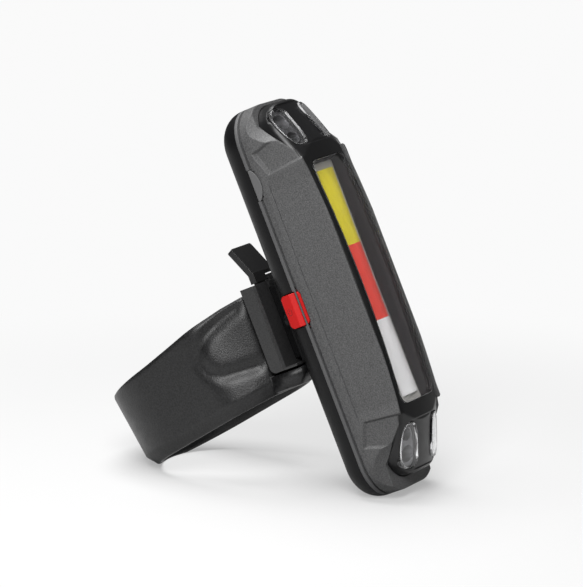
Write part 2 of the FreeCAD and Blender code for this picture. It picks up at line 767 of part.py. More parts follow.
# Window tray behind the lens, following it with its rim
tray_back = val("strip_depth") - val("strip_board_thickness")
tray_half_width = val("bezel_width") / 2 - val("bezel_side") - 0.15
tray_half_length = val("end_lens_inner") - 2.3
tray_rim = slab(2 * tray_half_width, 2 * tray_half_length, 1.8, -BEYOND, -(tray_back - val("tray_wall")))
tray_rim = tray_rim.common(bezel_form(lens_back + 0.1, 0))
pocket_half = tray_half_width - val("tray_wall")
tray_pocket = slab(2 * pocket_half, 2 * (tray_half_length - val("tray_wall")), 1.2, -BEYOND, -tray_back)
add_feature("window_tray", raised(tray_rim.cut(tray_pocket)))


# Plain sub-parts: primitives and booleans whose sizes are looked up in the sheet


def bound_box(name, spans, starts):
    """A box whose three lengths and lowest corner are expressions."""
    box = doc.addObject("Part::Box", name)
    for prop, text in zip(("Length", "Width", "Height"), spans):
        box.setExpression(prop, cell(text))
    for axis, text in zip("xyz", starts):
        box.setExpression("Placement.Base." + axis, cell(text))
    return box


def bound_rod(name, radius, length, starts, turn):
    """A round bar whose radius, length and start are expressions."""
    bar = doc.addObject("Part::Cylinder", name)
    bar.Placement = FreeCAD.Placement(V(0, 0, 0), turn)
    bar.setExpression("Radius", cell(radius))
    bar.setExpression("Height", cell(length))
    for axis, text in zip("xyz", starts):
        bar.setExpression("Placement.Base." + axis, cell(text))
    return bar


ALONG_Z = FreeCAD.Rotation(V(0, 0, 1), 0)
ALONG_X = FreeCAD.Rotation(V(0, 1, 0), 90)
FRONTWARD = FreeCAD.Rotation(V(1, 0, 0), 90)
BACKWARD = FreeCAD.Rotation(V(1, 0, 0), -90)


def fused(name, parts):
    """One solid made of several."""
    union = doc.addObject("Part::MultiFuse", name)
    union.Shapes = parts
    return union


def drilled(name, base, tools):
    """A solid with other solids taken out of it."""
    tool = tools[0] if len(tools) == 1 else fused(name + "_tools", tools)
    result = doc.addObject("Part::Cut", name)
    result.Base = base
    result.Tool = tool
    return result


def softened(name, base, radius, picker):
    """A solid with the picked edges rounded."""
    doc.recompute()
    result = doc.addObject("Part::Fillet", name)
    result.Base = base
    result.Edges = [(i + 1, radius, radius) for i, e in enumerate(base.Shape.Edges) if picker(e)]
    return result


def register(label, feature):
    """Make this feature the sub-part with this name."""
    feature.Label = label
    nodes[label] = feature
    return feature


# Emitter strip: its carrier board and three domed, tinted bands
strip_board_box = bound_box(
    "strip_board_box",
    ("strip_board_width", "strip_board_thickness", "strip_board_length"),
    ("-strip_board_width / 2", "-strip_depth", "strip_middle - strip_board_length / 2"),
)
register("cob_board", softened("cob_board", strip_board_box, 0.8, lambda e: runs_along(e, Y_AXIS)))
dome_radius = "(strip_width ^ 2 / 4 + strip_rise ^ 2) / (2 * strip_rise)"
for rank, label in enumerate(("cob_white", "cob_red", "cob_yellow")):
    start = "strip_middle + strip_length * (%d / 3 - 1 / 2)" % rank
    bar = bound_rod(
        label + "_bar", dome_radius, "strip_length / 3",
        ("0", "%s - strip_depth - strip_rise" % dome_radius, start), ALONG_Z,
    )
    window = bound_box(
        label + "_window", ("strip_width", "strip_rise", "strip_length / 3"),
        ("-strip_width / 2", "-strip_depth - strip_rise", start),
    )
    dome = doc.addObject("Part::Common", label)
    dome.Base = bar
    dome.Tool = window
    register(label, dome)


def plate_body(label, width, height, thickness, y_start, z_middle, hole_spots, hole_radius):
    """A rectangular plate with round holes, padded towards the back from a front face."""
    body = doc.addObject("PartDesign::Body", label)
    sketch = body.newObject("Sketcher::SketchObject", label + "_outline")
    plane = [f for f in body.Origin.OriginFeatures if f.Role == "XZ_Plane"][0]
    sketch.AttachmentSupport = (plane, [""])
    sketch.MapMode = "FlatFace"
    sketch.setExpression("AttachmentOffset.Base.z", cell("-(%s)" % y_start))
    sketch.setExpression("AttachmentOffset.Base.y", cell(z_middle))
    half = 5.0
    corners = [V(-half, -half, 0), V(half, -half, 0), V(half, half, 0), V(-half, half, 0)]
    for i in range(4):
        sketch.addGeometry(Part.LineSegment(corners[i], corners[(i + 1) % 4]), False)
    for i in range(4):
        sketch.addConstraint(Sketcher.Constraint("Coincident", i, 2, (i + 1) % 4, 1))
    for i, kind in enumerate(("Horizontal", "Vertical", "Horizontal", "Vertical")):
        sketch.addConstraint(Sketcher.Constraint(kind, i))
    sketch.addConstraint(Sketcher.Constraint("Symmetric", 0, 1, 1, 2, -1, 1))
    at_width = sketch.addConstraint(Sketcher.Constraint("DistanceX", 0, 1, 0, 2, 2 * half))
    at_height = sketch.addConstraint(Sketcher.Constraint("DistanceY", 1, 1, 1, 2, 2 * half))
    sketch.setExpression("Constraints[%d]" % at_width, cell(width))
    sketch.setExpression("Constraints[%d]" % at_height, cell(height))
    for x_side, x_text, z_side, z_text in hole_spots:
        hole = sketch.addGeometry(Part.Circle(V(x_side, z_side, 0), V(0, 0, 1), 0.5), False)
        size = sketch.addConstraint(Sketcher.Constraint("Radius", hole, 0.5))
        sketch.setExpression("Constraints[%d]" % size, cell(hole_radius))
        for kind, side, text in (("DistanceX", x_side, x_text), ("DistanceY", z_side, z_text)):
            if side == 0:
                other = "DistanceX" if kind == "DistanceX" else "DistanceY"
                axis = -2 if other == "DistanceX" else -1
                sketch.addConstraint(Sketcher.Constraint("PointOnObject", hole, 3, axis))
                continue
            ends = (hole, 3, -1, 1) if side < 0 else (-1, 1, hole, 3)
            place = sketch.addConstraint(Sketcher.Constraint(kind, *ends, abs(side)))
            sketch.setExpression("Constraints[%d]" % place, cell(text))
    pad = body.newObject("PartDesign::Pad", label + "_pad")
    pad.Profile = sketch
    pad.Reversed = True
    pad.setExpression("Length", cell(thickness))
    return register(label, body)


# Main board on its four posts, with a screw-free hole over each post
board_spots = [
    (sx * 3.0, "9.0", sz * 3.0, BOARD_LENGTH + " / 2 - 2.6")
    for sx in (-1, 1) for sz in (-1, 1)
]
plate_body(
    "main_board", "board_width", BOARD_LENGTH, "board_thickness",
    "board_back - board_thickness", "(%s + %s) / 2" % (BOARD_BOTTOM, BOARD_TOP), board_spots, "0.5",
)

# Flat cell below the board, and two strips that join it to the board
cell_box = bound_box(
    "cell_box", ("cell_width", "cell_thickness", "cell_length"),
    ("-cell_width / 2", "shell_depth - wall - cell_thickness", CELL_BOTTOM),
)
register("battery_cell", softened("battery_cell", cell_box, 1.6, lambda e: runs_along(e, Z_AXIS)))
tab_boxes = []
for name, middle in (("tab_left", "-4"), ("tab_right", "4")):
    tab_boxes.append(fused(name, [
        bound_box(
            name + "_flat", ("tab_width", "tab_thickness", "cell_gap + 2"),
            ("%s - tab_width / 2" % middle, "board_back", CELL_BOTTOM + " + cell_length"),
        ),
        bound_box(
            name + "_foot", ("tab_width", "2.2", "tab_thickness"),
            ("%s - tab_width / 2" % middle, "board_back", CELL_BOTTOM + " + cell_length"),
        ),
    ]))
tabs = doc.addObject("Part::Compound", "battery_tabs")
tabs.Links = tab_boxes
register("battery_tabs", tabs)

# Push switch on the edge of the board, behind the side button
switch_body = bound_box(
    "switch_body", ("switch_depth", "switch_height", "switch_length"),
    (
        "-board_width / 2 + 0.5", "board_back - board_thickness - switch_height", "-switch_length / 2",
    ),
)
switch_plunger = bound_box(
    "switch_plunger", ("0.8", "switch_height / 2", "1.6"),
    ("-board_width / 2 - 0.1", "board_back - board_thickness - switch_height * 0.75", "-0.8"),
)
register("tactile_switch", fused("tactile_switch", [switch_body, switch_plunger]))


# Slide shoe behind the lamp: plate, neck and flange of a T
def centred(name, width, length, y_low, y_high, middle):
    """A box centred across the lamp and on a height, between two depths."""
    return bound_box(
        name, (width, "%s - (%s)" % (y_high, y_low), length),
        ("-(%s) / 2" % width, y_low, "%s - (%s) / 2" % (middle, length)),
    )


shoe_back = "block_front + block_lip + slide_clearance + shoe_flange_thickness"
shoe_blank = fused("shoe_blank", [
    centred("shoe_plate", "shoe_plate_width", "shoe_plate_length", "shell_depth",
            "shell_depth + shoe_plate_thickness", "shoe_middle"),
    centred("shoe_neck", "shoe_neck_width", "shoe_length", "shell_depth", shoe_back, "shoe_middle"),
    centred("shoe_flange", "shoe_flange_width", "shoe_length",
            shoe_back + " - shoe_flange_thickness", shoe_back, "shoe_middle"),
])
shoe_seat = "shell_depth + shoe_plate_thickness"
shoe_screw_length = "shoe_plate_thickness + 3"


def bound_screws(label, seat, x_text, z_text, length):
    """Two screws with round heads, side by side."""
    pair = []
    for side, sign in (("left", "-"), ("right", "")):
        head = bound_rod(
            "%s_%s_head" % (label, side), "screw_head_radius", "screw_head_height",
            (sign + x_text, seat, z_text), BACKWARD,
        )
        shank = bound_rod(
            "%s_%s_shank" % (label, side), "screw_radius", length, (sign + x_text, seat, z_text), FRONTWARD,
        )
        pair.append(fused("%s_%s" % (label, side), [head, shank]))
    both = doc.addObject("Part::Compound", label)
    both.Links = pair
    return register(label, both)


def bound_holes(label, radius, x_text, start, z_text, length):
    """Two round holes for such screws."""
    return [
        bound_rod("%s_%s" % (label, side), radius, length, (sign + x_text, start, z_text), FRONTWARD)
        for side, sign in (("left", "-"), ("right", ""))
    ]


register("slide_shoe", drilled("slide_shoe", shoe_blank, bound_holes(
    "shoe_hole", "screw_radius + 0.05", "shoe_screw_span / 2", shoe_seat + " + 1", "shoe_middle", "5",
)))
bound_screws("shoe_screws", shoe_seat, "shoe_screw_span / 2", "shoe_middle", shoe_screw_length)
for side in (-1, 1):
    start = V(side * shoe_screw_x, depth + 0.01, shoe_mid)
    rear = rear.cut(rod(val("screw_radius") + screw_fit, 3.1, start, screw_dir))

# Bracket block with a T slot that is open at the top
block_blank = centred(
    "block_blank", "block_width", "block_top - block_bottom", "block_front", "block_front + block_depth",
    "(block_top + block_bottom) / 2",
)
doc.recompute()
block_back = val("block_front") + val("block_depth")


def low_rear_edge(edge):
    """The lower rear edge of the block."""
    place = edge_middle(edge)
    return abs(place.y - block_back) < 0.01 and abs(place.z - val("block_bottom")) < 0.01


def front_side_edge(edge):
    """The upright front edges of the block."""
    return runs_along(edge, Z_AXIS) and abs(edge_middle(edge).y - val("block_front")) < 0.01


block_toe = bound_box(
    "block_toe", ("block_width", "block_front - shell_depth - 1.5 + 0.5", "0.6"),
    ("-block_width / 2", "shell_depth + 1.5", "block_bottom"),
)
block_bevel = doc.addObject("Part::Chamfer", "block_bevel")
block_bevel.Base = block_blank
block_bevel.Edges = [(i + 1, 0.7, 0.7) for i, e in enumerate(block_blank.Shape.Edges) if front_side_edge(e)]
block_soft = softened("block_soft", block_bevel, val("block_round"), low_rear_edge)
slot_floor = "block_bottom + block_floor"
slot_height = "block_top - (%s) + 1" % slot_floor
flange_back = "block_front + block_lip + 2 * slide_clearance + shoe_flange_thickness"
neck_slot = bound_box(
    "neck_slot", ("shoe_neck_width + 2 * slide_clearance", "block_lip + 1.1", slot_height),
    ("-shoe_neck_width / 2 - slide_clearance", "block_front - 1", slot_floor),
)
flange_slot = bound_box(
    "flange_slot",
    ("shoe_flange_width + 2 * slide_clearance", "2 * slide_clearance + shoe_flange_thickness", slot_height),
    ("-shoe_flange_width / 2 - slide_clearance", "block_front + block_lip", slot_floor),
)
tail_middle = "(lever_root_width - lever_width) / 2"
tail_width = "lever_root_width - 1.8"
lever_slot = bound_box(
    "lever_slot",
    (tail_width + " + 2 * lever_slot_clearance", "5", "block_top - lever_tail + lever_slot_clearance + 1"),
    (
        "%s - (%s) / 2 - lever_slot_clearance" % (tail_middle, tail_width), flange_back + " - 0.1",
        "lever_tail - lever_slot_clearance",
    ),
)
pin_depth = "block_front + block_depth - 0.8"
pin_bore = bound_rod(
    "pin_bore", "lever_pin_radius", "lever_pin_length",
    (tail_middle + " - lever_pin_length / 2", pin_depth, "lever_pin_height"), ALONG_X,
)
plate_middle = "(strap_top_front + strap_bottom_front) / 2"
block_screw_holes = bound_holes(
    "block_hole", "screw_radius + 0.05", "plate_screw_span / 2", "block_front + block_depth + 1",
    plate_middle, "2.6",
)
block_lug = bound_box(
    "block_lug", ("lever_width / 2 - 1.4", "block_front + block_depth - lever_front", "1.8"),
    ("1.2", "lever_front - 0.2", "block_top - 0.1"),
)
block_body = fused("block_body", [block_soft, block_toe, block_lug])
register("bracket_block", drilled(
    "bracket_block", block_body, [neck_slot, flange_slot, lever_slot, pin_bore] + block_screw_holes,
))
pin_rod = bound_rod(
    "pin_rod", "lever_pin_radius", "lever_pin_length",
    (tail_middle + " - lever_pin_length / 2", pin_depth, "lever_pin_height"), ALONG_X,
)
pin_compound = doc.addObject("Part::Compound", "lever_pin")
pin_compound.Links = [pin_rod]
register("lever_pin", pin_compound)

# Release lever: a leaning plate, its root and a tail on the pin
lever_half = val("lever_width") / 2
lever_front = val("lever_front")
bend = val("lever_bend")
lever_turn = math.radians(val("lever_lean"))
lean_step = V(0, math.sin(lever_turn), math.cos(lever_turn)) * (val("lever_height") / math.cos(lever_turn))
through = V(0, math.cos(lever_turn), -math.sin(lever_turn)) * val("lever_thickness")
plate_start = V(-lever_half, lever_front, bend)
root_y = lever_front + 1.7
plate_end = plate_start + lean_step
lever_plate = polygon([plate_start, plate_end, plate_end + through, plate_start + through])
lever_plate = lever_plate.extrude(V(2 * lever_half, 0, 0))
top_corners = [
    e for e in lever_plate.Edges
    if abs(edge_middle(e).x) > lever_half - 0.01 and edge_middle(e).z > bend + val("lever_height") - 0.6
]
lever_plate = lever_plate.makeFillet(0.6, top_corners)
root_low = val("block_top") + 0.4
root = brick(-lever_half, -lever_half + val("lever_root_width"), lever_front, root_y, root_low, bend + 0.3)
root = root.fuse(brick(-lever_half, lever_half, lever_front + 0.3, root_y - 0.3, bend - 0.8, bend + 0.4))
pin_y = block_back - 0.8
pin_z = val("lever_pin_height")
tail_half = (val("lever_root_width") - 1.8) / 2
tail_x = (val("lever_root_width") - val("lever_width")) / 2
tail = brick(
    tail_x - tail_half, tail_x + tail_half, pin_y - 0.6, pin_y + 0.6, val("lever_tail"), root_low + 0.1
)
pin_hole = rod(val("lever_pin_radius") + val("lever_pin_clearance"), 40, V(-20, pin_y, pin_z), X_AXIS)
lever = lever_plate.fuse(root).fuse(tail).removeSplitter().cut(pin_hole)
add_feature("release_lever", lever)

# Strap: a ring drawn square to its own tilted axis, then cut to its side profile
hinge = V(0, block_back, -3.2)
droop = FreeCAD.Rotation(X_AXIS, -val("strap_droop"))
outer_radius = val("strap_inner_radius") + val("strap_thickness")
bend_at = val("strap_reach") - outer_radius
base_half = val("strap_base_width") / 2
ring_height = 40.0
ring_start = -8.0
ring_arc = Part.Arc(
    V(outer_radius, bend_at, 0), V(0, bend_at + outer_radius, 0), V(-outer_radius, bend_at, 0)
).toShape()
ring_points = [
    V(-outer_radius, bend_at, 0), V(-outer_radius, val("strap_flare"), 0), V(-base_half, 1.0, 0),
    V(-base_half, ring_start, 0), V(base_half, ring_start, 0), V(base_half, 1.0, 0),
    V(outer_radius, val("strap_flare"), 0), V(outer_radius, bend_at, 0),
]
ring_sides = [Part.LineSegment(ring_points[i], ring_points[i + 1]).toShape() for i in range(7)]
ring_blank = face_of([ring_arc] + ring_sides).extrude(V(0, 0, ring_height))
flare_edges = [
    e for e in ring_blank.Edges
    if runs_along(e, Z_AXIS) and 0.5 < edge_middle(e).y < val("strap_flare") + 1.0
]
ring_blank = ring_blank.makeFillet(7.0, flare_edges)
ring_face = [f for f in ring_blank.Faces if abs(f.BoundBox.ZMax) < 0.001][0]
ring_inner = ring_face.makeOffset2D(-val("strap_thickness")).extrude(V(0, 0, ring_height))
front_gap = Part.makeBox(
    2 * (base_half - val("strap_thickness")), 20, ring_height,
    V(-base_half + val("strap_thickness"), ring_start - 10, 0),
)
ring = ring_blank.cut(ring_inner).cut(front_gap)
ring.translate(V(0, 0, -ring_height / 2))
ring.Placement = FreeCAD.Placement(hinge, droop).multiply(ring.Placement)

rear_y = block_back + val("strap_reach")
top_front = val("strap_top_front")
bottom_front = val("strap_bottom_front")
TOP_LINE = [(7.4, -1.3), (14.0, -3.1), (22.0, -5.5), (30.0, -7.8), (49.5, -12.9), (58.0, -15.2)]
top_points = [V(0, block_back, top_front)]
top_points += [V(0, block_back + run, top_front + fall) for run, fall in TOP_LINE]
top_curve = Part.BSplineCurve()
top_curve.interpolate(top_points)
bottom_slope = val("strap_fall") / (val("strap_reach") - 2.4)
bottom_end = V(0, rear_y + 6.0, bottom_front - bottom_slope * (val("strap_reach") + 6.0))
side_chain = [top_points[-1], bottom_end, V(0, block_back, bottom_front), top_points[0]]
side_edges = [Part.LineSegment(side_chain[i], side_chain[i + 1]).toShape() for i in range(3)]
side_face = face_of([top_curve.toShape()] + side_edges)
side_face.translate(V(-BEYOND, 0, 0))
side_wedge = side_face.extrude(V(2 * BEYOND, 0, 0))
strap = ring.common(side_wedge)
base = brick(-base_half, base_half, block_back, block_back + val("strap_thickness"), bottom_front, top_front)
strap = strap.fuse(base.common(side_wedge))
shelf_top = val("block_bottom") - val("shelf_gap")
shelf_front = block_back - val("shelf_reach")
shelf = brick(-base_half, base_half, shelf_front, block_back + 1.0, bottom_front, shelf_top)
shelf_tip = [
    e for e in shelf.Edges
    if abs(edge_middle(e).y - (block_back - val("shelf_reach"))) < 0.01 and runs_along(e, X_AXIS)
    and edge_middle(e).z < shelf_top - 1.0
]
shelf = shelf.makeChamfer(2.0, shelf_tip)
strap = strap.fuse(shelf).removeSplitter()
for side in (-1, 1):
    hole = rod(
        val("screw_radius") + 0.3, 8.0,
        V(side * val("plate_screw_span") / 2, block_back + 5.0, (top_front + bottom_front) / 2), screw_dir,
    )
    strap = strap.cut(hole)

# Clamp plate inside the strap, and its two screws
plate_seat = "block_front + block_depth + strap_thickness"
plate_spots = [(side * 3.0, "plate_screw_span / 2", 0, "0") for side in (-1, 1)]
plate_body(
    "strap_plate", "plate_width", "plate_height", "plate_thickness", plate_seat, plate_middle,
    plate_spots, "screw_radius + 0.05",
)
bound_screws(
    "plate_screws", plate_seat + " + plate_thickness", "plate_screw_span / 2", plate_middle,
    "plate_thickness + strap_thickness + 1.4",
)

# The pieces that the light stands on are cut flat where they meet the floor
lean = FreeCAD.Rotation(X_AXIS, -val("lean_angle"))
lean_sine = math.sin(math.radians(val("lean_angle")))
lean_cosine = math.cos(math.radians(val("lean_angle")))
round_centre = V(0, depth - val("shell_round"), val("shell_round") - lamp_half_length)
lamp_low = -round_centre.y * lean_sine + round_centre.z * lean_cosine - val("shell_round")
floor_level = lamp_low + 0.3
below_floor = Part.makeBox(300, 300, 60, V(-150, -150, floor_level - 60))
below_floor.rotate(V(0, 0, 0), X_AXIS, val("lean_angle"))
rear = rear.cut(below_floor)
strap = strap.cut(below_floor)
add_feature("rear_shell", rear)
add_feature("strap", strap)

# Lean everything back and set it down on the floor, centred
doc.recompute()
leaned = FreeCAD.Placement(V(0, 0, 0), lean)
whole = FreeCAD.BoundBox()
for feature in nodes.values():
    feature.Placement = leaned.multiply(feature.Placement)
doc.recompute()
for feature in nodes.values():
    whole.add(feature.Shape.optimalBoundingBox(False, False))
shift = V(-whole.Center.x, -whole.Center.y, -whole.ZMin)
for feature in nodes.values():
    feature.Placement = FreeCAD.Placement(shift, FreeCAD.Rotation()).multiply(feature.Placement)
doc.recompute()

for thing in doc.Objects:
    assert "Invalid" not in thing.State and "Error" not in thing.State, thing.Name
    if hasattr(thing, "Shape") and not thing.isDerivedFrom("App::OriginFeature"):
        if not thing.isDerivedFrom("App::DatumElement"):
            assert not thing.Shape.isNull() and thing.Shape.isValid(), thing.Name
for label, feature in nodes.items():
    solids = feature.Shape.Solids
    assert solids, label
    feature.Shape.exportStep("parts/%s.step" % label)
    print("%-24s %d solids %9.1f mm3" % (label, len(solids), feature.Shape.Volume))
overall = (whole.XLength, whole.YLength, whole.ZLength)
print("shift", [round(c, 4) for c in shift], "sizes", [round(c, 2) for c in overall])
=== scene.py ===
import bpy
import bmesh
import math
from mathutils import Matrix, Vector


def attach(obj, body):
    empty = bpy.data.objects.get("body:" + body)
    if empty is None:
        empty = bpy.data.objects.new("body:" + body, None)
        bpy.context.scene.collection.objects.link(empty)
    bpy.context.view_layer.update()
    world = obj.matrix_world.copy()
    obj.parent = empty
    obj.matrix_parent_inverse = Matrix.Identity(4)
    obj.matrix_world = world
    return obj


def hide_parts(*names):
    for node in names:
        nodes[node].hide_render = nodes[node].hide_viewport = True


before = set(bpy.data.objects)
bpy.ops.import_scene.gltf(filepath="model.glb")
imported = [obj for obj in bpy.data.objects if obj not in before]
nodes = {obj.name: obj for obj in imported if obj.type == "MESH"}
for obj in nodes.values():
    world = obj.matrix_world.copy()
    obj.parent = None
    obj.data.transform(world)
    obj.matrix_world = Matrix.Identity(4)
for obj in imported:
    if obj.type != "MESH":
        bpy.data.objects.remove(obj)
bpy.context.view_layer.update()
MM = 0.001

# The lamp's own frame, leaned back and set down: X across, Y back, Z along the lamp
LEAN = math.radians(24.0)
LAMP_ORIGIN = Vector((0.0, -0.0162245, 0.0472236))


def lamp_point(x, y, z):
    """A point given in millimetres in the lamp's frame, in metres in the scene."""
    return LAMP_ORIGIN + Vector((
        x * MM,
        (y * math.cos(LEAN) + z * math.sin(LEAN)) * MM,
        (z * math.cos(LEAN) - y * math.sin(LEAN)) * MM,
    ))


# Camera: a long lens at the photograph's angle
AZIMUTH = math.radians(-61.0)
ELEVATION = math.radians(12.2)
DISTANCE = 0.9
SENSOR_WIDTH = 36.0
PIXELS_PER_MM = 4.01
FRAME_WIDTH, FRAME_HEIGHT = 583.0, 587.0
# Pixel of the photograph on which the lamp's origin lies, from its upper left corner
ORIGIN_ACROSS, ORIGIN_DOWN = 329.1, 297.4

to_camera = Vector((
    math.sin(AZIMUTH) * math.cos(ELEVATION), -math.cos(AZIMUTH) * math.cos(ELEVATION), math.sin(ELEVATION)
))
right = Vector((math.cos(AZIMUTH), math.sin(AZIMUTH), 0.0))
up = to_camera.cross(right)
aim_right = (FRAME_WIDTH / 2 - ORIGIN_ACROSS) / PIXELS_PER_MM * MM
aim_up = (ORIGIN_DOWN - FRAME_HEIGHT / 2) / PIXELS_PER_MM * MM
aim = LAMP_ORIGIN + right * aim_right + up * aim_up
camera_data = bpy.data.cameras.new("camera")
camera_data.sensor_fit = "HORIZONTAL"
camera_data.sensor_width = SENSOR_WIDTH
camera_data.lens = SENSOR_WIDTH * DISTANCE / (FRAME_WIDTH / PIXELS_PER_MM * MM)
camera_data.clip_start = 0.01
camera_data.clip_end = 50.0
camera = bpy.data.objects.new("camera", camera_data)
bpy.context.collection.objects.link(camera)
camera.location = aim + to_camera * DISTANCE
camera.rotation_mode = "QUATERNION"
camera.rotation_quaternion = (-to_camera).to_track_quat("-Z", "Y")
bpy.context.scene.camera = camera
bpy.context.scene.view_settings.view_transform = "Standard"

# Materials: lengths are in metres and noise scales in waves for each metre
NOISE_LOW, NOISE_HIGH = 0.3, 0.7
SHADE_SCALE = 160.0
GLOSS_SCALE = 420.0
# Sockets of a Mix node that mixes colours
MIX_FIRST, MIX_SECOND, MIX_COLOUR = 6, 7, 2


class Recipe:
    """A material and its Principled shader, with short ways to add nodes."""

    def __init__(self, name, colour, roughness, **values):
        self.material = bpy.data.materials.new(name)
        self.material.use_nodes = True
        self.tree = self.material.node_tree
        self.shader = self.tree.nodes["Principled BSDF"]
        self.shader.inputs["Base Color"].default_value = (*colour, 1.0)
        self.shader.inputs["Roughness"].default_value = roughness
        for key, value in values.items():
            self.shader.inputs[key.replace("_", " ")].default_value = value
        self.colour = colour
        self.place = self.node("ShaderNodeTexCoord").outputs["Object"]
        self.normal = None

    def node(self, kind, **settings):
        """A new node with its settings."""
        made = self.tree.nodes.new(kind)
        for key, value in settings.items():
            setattr(made, key, value)
        return made

    def link(self, start, end):
        self.tree.links.new(start, end)

    def noise(self, scale, detail=3.0):
        """A noise texture that is fixed to the object."""
        noise = self.node("ShaderNodeTexNoise")
        noise.inputs["Scale"].default_value = scale
        noise.inputs["Detail"].default_value = detail
        self.link(self.place, noise.inputs["Vector"])
        return noise.outputs["Fac"]

    def span(self, noise, low, high):
        """Spread a noise over the range from low to high."""
        box = self.node("ShaderNodeMapRange")
        box.inputs["From Min"].default_value = NOISE_LOW
        box.inputs["From Max"].default_value = NOISE_HIGH
        box.inputs["To Min"].default_value = low
        box.inputs["To Max"].default_value = high
        self.link(noise, box.inputs["Value"])
        return box.outputs["Result"]

    def tint(self, share, dark, bright):
        """Base colour between two shades of the recipe's colour."""
        mix = self.node("ShaderNodeMix", data_type="RGBA")
        mix.inputs[MIX_FIRST].default_value = (*[c * dark for c in self.colour], 1.0)
        mix.inputs[MIX_SECOND].default_value = (*[min(1.0, c * bright) for c in self.colour], 1.0)
        self.link(share, mix.inputs[0])
        self.link(mix.outputs[MIX_COLOUR], self.shader.inputs["Base Color"])

    def vary_roughness(self, noise, low, high):
        """Uneven gloss."""
        self.link(self.span(noise, low, high), self.shader.inputs["Roughness"])

    def soft_edges(self, radius):
        """Edges that catch the light as if they were rounded."""
        bevel = self.node("ShaderNodeBevel", samples=6)
        bevel.inputs["Radius"].default_value = radius
        self.normal = bevel.outputs["Normal"]
        self.link(self.normal, self.shader.inputs["Normal"])

    def bump(self, noise, strength, distance):
        """Fine relief on top of the soft edges."""
        bump = self.node("ShaderNodeBump")
        bump.inputs["Strength"].default_value = strength
        bump.inputs["Distance"].default_value = distance
        self.link(noise, bump.inputs["Height"])
        self.link(self.normal, bump.inputs["Normal"])
        self.normal = bump.outputs["Normal"]
        self.link(self.normal, self.shader.inputs["Normal"])


def grained(
    name, colour, roughness, grain=2600.0, depth=0.00003, strength=0.5, edge=0.00035, speckle=0.0, **values
):
    """Moulded plastic: fine grain, slightly uneven gloss, soft edges."""
    recipe = Recipe(name, colour, roughness, **values)
    fine = recipe.noise(grain, 2.0)
    if speckle > 0.0:
        recipe.tint(recipe.span(fine, 0.0, 1.0), 1.0 - speckle, 1.0 + speckle)
    else:
        recipe.tint(recipe.noise(SHADE_SCALE, 4.0), 0.9, 1.1)
    recipe.vary_roughness(recipe.noise(GLOSS_SCALE), roughness * 0.9, min(1.0, roughness * 1.12))
    recipe.soft_edges(edge)
    recipe.bump(fine, strength, depth)
    return recipe


def metal(name, colour, roughness):
    """Worked metal with slightly uneven gloss."""
    recipe = Recipe(name, colour, roughness, Metallic=1.0)
    recipe.vary_roughness(recipe.noise(scale=900.0), roughness * 0.8, roughness * 1.3)
    recipe.soft_edges(radius=0.0001)
    recipe.bump(recipe.noise(scale=3000.0), strength=0.08, distance=0.00001)
    return recipe


def clear(name, colour, roughness):
    """Clear plastic that lets the lamps' light through to what is behind it."""
    recipe = Recipe(name, colour, roughness, Transmission_Weight=1.0, IOR=1.46)
    recipe.soft_edges(radius=0.00025)
    recipe.bump(recipe.noise(scale=260.0), strength=0.02, distance=0.00003)
    path = recipe.node("ShaderNodeLightPath")
    see_through = recipe.node("ShaderNodeBsdfTransparent")
    see_through.inputs["Color"].default_value = (0.9, 0.9, 0.9, 1.0)
    mix = recipe.node("ShaderNodeMixShader")
    recipe.link(path.outputs["Is Shadow Ray"], mix.inputs[0])
    recipe.link(recipe.shader.outputs[0], mix.inputs[1])
    recipe.link(see_through.outputs[0], mix.inputs[2])
    recipe.link(mix.outputs[0], recipe.tree.nodes["Material Output"].inputs["Surface"])
    return recipe


shell_plastic = grained(
    "shell_plastic", (0.005, 0.005, 0.0055), 0.42, depth=0.00005, edge=0.0003, Specular_IOR_Level=0.22,
)
housing_plastic = grained(
    "housing_plastic", (0.104, 0.104, 0.105), 0.46, grain=3400.0, depth=0.00009, strength=0.8, speckle=0.4,
)
bezel_plastic = grained(
    "bezel_plastic", (0.008, 0.008, 0.0085), 0.34, depth=0.00001, edge=0.0004, Specular_IOR_Level=0.45,
)
# Seam trim: a dark seal given a lighter grey, a painted highlight along the seam line
seal_painted_highlight = grained("seal_painted_highlight", (0.13, 0.13, 0.132), 0.55)
tray_plastic = grained("tray_plastic", (0.012, 0.008, 0.009), 0.12, depth=0.000002, edge=0.0002)
button_rubber = grained(
    "button_rubber", (0.74, 0.014, 0.013), 0.45, grain=1800.0, depth=0.00001, Specular_IOR_Level=0.3,
)
symbol_rubber = grained("symbol_rubber", (0.25, 0.006, 0.006), 0.5, grain=1800.0, depth=0.00001)
flap_rubber = grained("flap_rubber", (0.17, 0.17, 0.172), 0.5)
block_plastic = grained(
    "block_plastic", (0.034, 0.034, 0.0345), 0.34, depth=0.00005, edge=0.0003, speckle=0.3,
)
lever_plastic = grained("lever_plastic", (0.013, 0.013, 0.0135), 0.36, edge=0.0003)
# Slide shoe: black plastic, darkened further as painted shade for the dark slot between the block and the
# lamp
shoe_black_and_painted_shade = grained("shoe_black_and_painted_shade", (0.004, 0.004, 0.0045), 0.6, Specular_IOR_Level=0.2)
board_paint = grained("board_paint", (0.02, 0.14, 0.06), 0.4)
strip_paint = grained("strip_paint", (0.45, 0.44, 0.41), 0.4)
cell_wrap = grained("cell_wrap", (0.45, 0.45, 0.47), 0.35, Metallic=0.8)
phosphor_yellow = grained("phosphor_yellow", (0.72, 0.615, 0.018), 0.4, edge=0.0003)
phosphor_red = grained("phosphor_red", (0.80, 0.052, 0.032), 0.4, edge=0.0003)
phosphor_white = grained("phosphor_white", (0.82, 0.815, 0.81), 0.4, edge=0.0003)
led_chip = grained("led_chip", (0.36, 0.32, 0.14), 0.3)
strap_rubber = grained(
    "strap_rubber", (0.011, 0.011, 0.0115), 0.4, depth=0.00007, strength=0.7, edge=0.0003, speckle=0.85,
)
screw_steel = metal("screw_steel", (0.42, 0.42, 0.43), 0.35)
black_steel = metal("black_steel", (0.03, 0.03, 0.031), 0.5)
